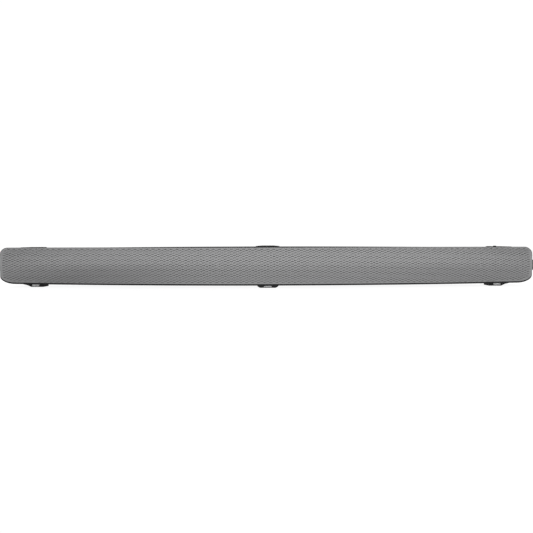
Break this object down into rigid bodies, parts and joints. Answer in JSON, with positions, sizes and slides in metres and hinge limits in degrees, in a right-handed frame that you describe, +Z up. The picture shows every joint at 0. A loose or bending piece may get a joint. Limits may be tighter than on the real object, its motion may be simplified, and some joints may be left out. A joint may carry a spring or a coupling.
{
  "type": "soundbar",
  "caption": "Long bowed soundbar: crowned perforated grille, flat back with socket recesses and ports, control pod on top, bracket feet with rubber pads.",
  "frame": {"origin": "on the table, under the middle of the bar", "axes": "+X along the bar to the listener's right, +Y to the back, +Z up; the grille faces -Y"},
  "size_m": [1.063, 0.112, 0.0832],
  "materials": {
    "cabinet_black": "fine sparked texture",
    "gloss_black": "polished",
    "grille_paint": "satin powder coat",
    "acoustic_cloth": "woven",
    "baffle_board": "moulded",
    "pad_rubber": "moulded",
    "button_plastic": "soft touch",
    "clear_lens": "clear",
    "circuit_board": "solder mask",
    "power_circuit_board": "solder mask",
    "socket_metal": "plated",
    "inlet_plastic": "moulded",
    "heat_sink_metal": "extruded",
    "shield_metal": "tinned",
    "aerial_copper": "bare foil",
    "wire_sheath": "smooth",
    "wadding": "fibrous",
    "screw_steel": "zinc plated",
    "insert_brass": "turned",
    "basket_steel": "satin",
    "magnet_iron": "ground",
    "cone_paper": "pressed fibre",
    "surround_rubber": "matt",
    "tweeter_plastic": "moulded",
    "dome_silk": "coated"
  },
  "bodies": {
    "soundbar": {"rear_cabinet": "cabinet_black", "back_panel": "cabinet_black", "front_baffle": "baffle_board", "left_end_cap": "cabinet_black", "right_end_cap": "cabinet_black", "grille": "grille_paint", "grille_cloth": "acoustic_cloth", "grille_frame": "cabinet_black", "left_bracket": "cabinet_black", "right_bracket": "cabinet_black", "centre_foot": "cabinet_black", "foot_pads": "pad_rubber", "control_pod": "gloss_black", "status_lens": "clear_lens", "control_board": "circuit_board", "main_board": "circuit_board", "signal_bay": "cabinet_black", "signal_sockets": "socket_metal", "amplifier_board": "circuit_board", "heat_sink": "heat_sink_metal", "power_board": "power_circuit_board", "mains_bay": "cabinet_black", "mains_inlet": "inlet_plastic", "wireless_module": "shield_metal", "antennas": "aerial_copper", "receiver_board": "circuit_board", "left_port": "cabinet_black", "right_port": "cabinet_black", "speaker_wires": "wire_sheath", "damping_pads": "wadding", "cabinet_screws": "screw_steel", "driver_screws": "screw_steel", "board_screws": "screw_steel", "wall_inserts": "insert_brass", "left_woofer_frame": "basket_steel", "left_woofer_magnet": "magnet_iron", "left_woofer_suspension": "surround_rubber", "mid_left_woofer_frame": "basket_steel", "mid_left_woofer_magnet": "magnet_iron", "mid_left_woofer_suspension": "surround_rubber", "mid_right_woofer_frame": "basket_steel", "mid_right_woofer_magnet": "magnet_iron", "mid_right_woofer_suspension": "surround_rubber", "right_woofer_frame": "basket_steel", "right_woofer_magnet": "magnet_iron", "right_woofer_suspension": "surround_rubber", "left_tweeter": "tweeter_plastic", "middle_tweeter": "tweeter_plastic", "right_tweeter": "tweeter_plastic"},
    "volume_up_button": {"volume_up_button": "button_plastic"},
    "volume_down_button": {"volume_down_button": "button_plastic"},
    "source_button": {"source_button": "button_plastic"},
    "power_button": {"power_button": "button_plastic"},
    "left_woofer_cone": {"left_woofer_cone": "cone_paper"},
    "mid_left_woofer_cone": {"mid_left_woofer_cone": "cone_paper"},
    "mid_right_woofer_cone": {"mid_right_woofer_cone": "cone_paper"},
    "right_woofer_cone": {"right_woofer_cone": "cone_paper"},
    "left_tweeter_dome": {"left_tweeter_dome": "dome_silk"},
    "middle_tweeter_dome": {"middle_tweeter_dome": "dome_silk"},
    "right_tweeter_dome": {"right_tweeter_dome": "dome_silk"}
  },
  "joints": [
    {"name": "volume_up_press", "type": "slide", "parent": "soundbar", "child": "volume_up_button", "axis": [0, 0, -1], "range_m": [0, 0.0005], "stiffness_N_per_m": 1500},
    {"name": "volume_down_press", "type": "slide", "parent": "soundbar", "child": "volume_down_button", "axis": [0, 0, -1], "range_m": [0, 0.0005], "stiffness_N_per_m": 1500},
    {"name": "source_press", "type": "slide", "parent": "soundbar", "child": "source_button", "axis": [0, 0, -1], "range_m": [0, 0.0005], "stiffness_N_per_m": 1500},
    {"name": "power_press", "type": "slide", "parent": "soundbar", "child": "power_button", "axis": [0, 0, -1], "range_m": [0, 0.0005], "stiffness_N_per_m": 1500},
    {"name": "left_woofer_stroke", "type": "slide", "parent": "soundbar", "child": "left_woofer_cone", "axis": [-0.0822, -0.9966, 0], "range_m": [-0.002, 0.002], "stiffness_N_per_m": 950, "deforming": ["left_woofer_suspension"]},
    {"name": "mid_left_woofer_stroke", "type": "slide", "parent": "soundbar", "child": "mid_left_woofer_cone", "axis": [-0.0199, -0.9998, 0], "range_m": [-0.002, 0.002], "stiffness_N_per_m": 950, "deforming": ["mid_left_woofer_suspension"]},
    {"name": "mid_right_woofer_stroke", "type": "slide", "parent": "soundbar", "child": "mid_right_woofer_cone", "axis": [0.0199, -0.9998, 0], "range_m": [-0.002, 0.002], "stiffness_N_per_m": 950, "deforming": ["mid_right_woofer_suspension"]},
    {"name": "right_woofer_stroke", "type": "slide", "parent": "soundbar", "child": "right_woofer_cone", "axis": [0.0822, -0.9966, 0], "range_m": [-0.002, 0.002], "stiffness_N_per_m": 950, "deforming": ["right_woofer_suspension"]},
    {"name": "left_tweeter_stroke", "type": "slide", "parent": "soundbar", "child": "left_tweeter_dome", "axis": [-0.1009, -0.9949, 0], "range_m": [-0.0002, 0.0002], "stiffness_N_per_m": 1200},
    {"name": "middle_tweeter_stroke", "type": "slide", "parent": "soundbar", "child": "middle_tweeter_dome", "axis": [0, -1, 0], "range_m": [-0.0002, 0.0002], "stiffness_N_per_m": 1200},
    {"name": "right_tweeter_stroke", "type": "slide", "parent": "soundbar", "child": "right_tweeter_dome", "axis": [0.1009, -0.9949, 0], "range_m": [-0.0002, 0.0002], "stiffness_N_per_m": 1200}
  ]
}
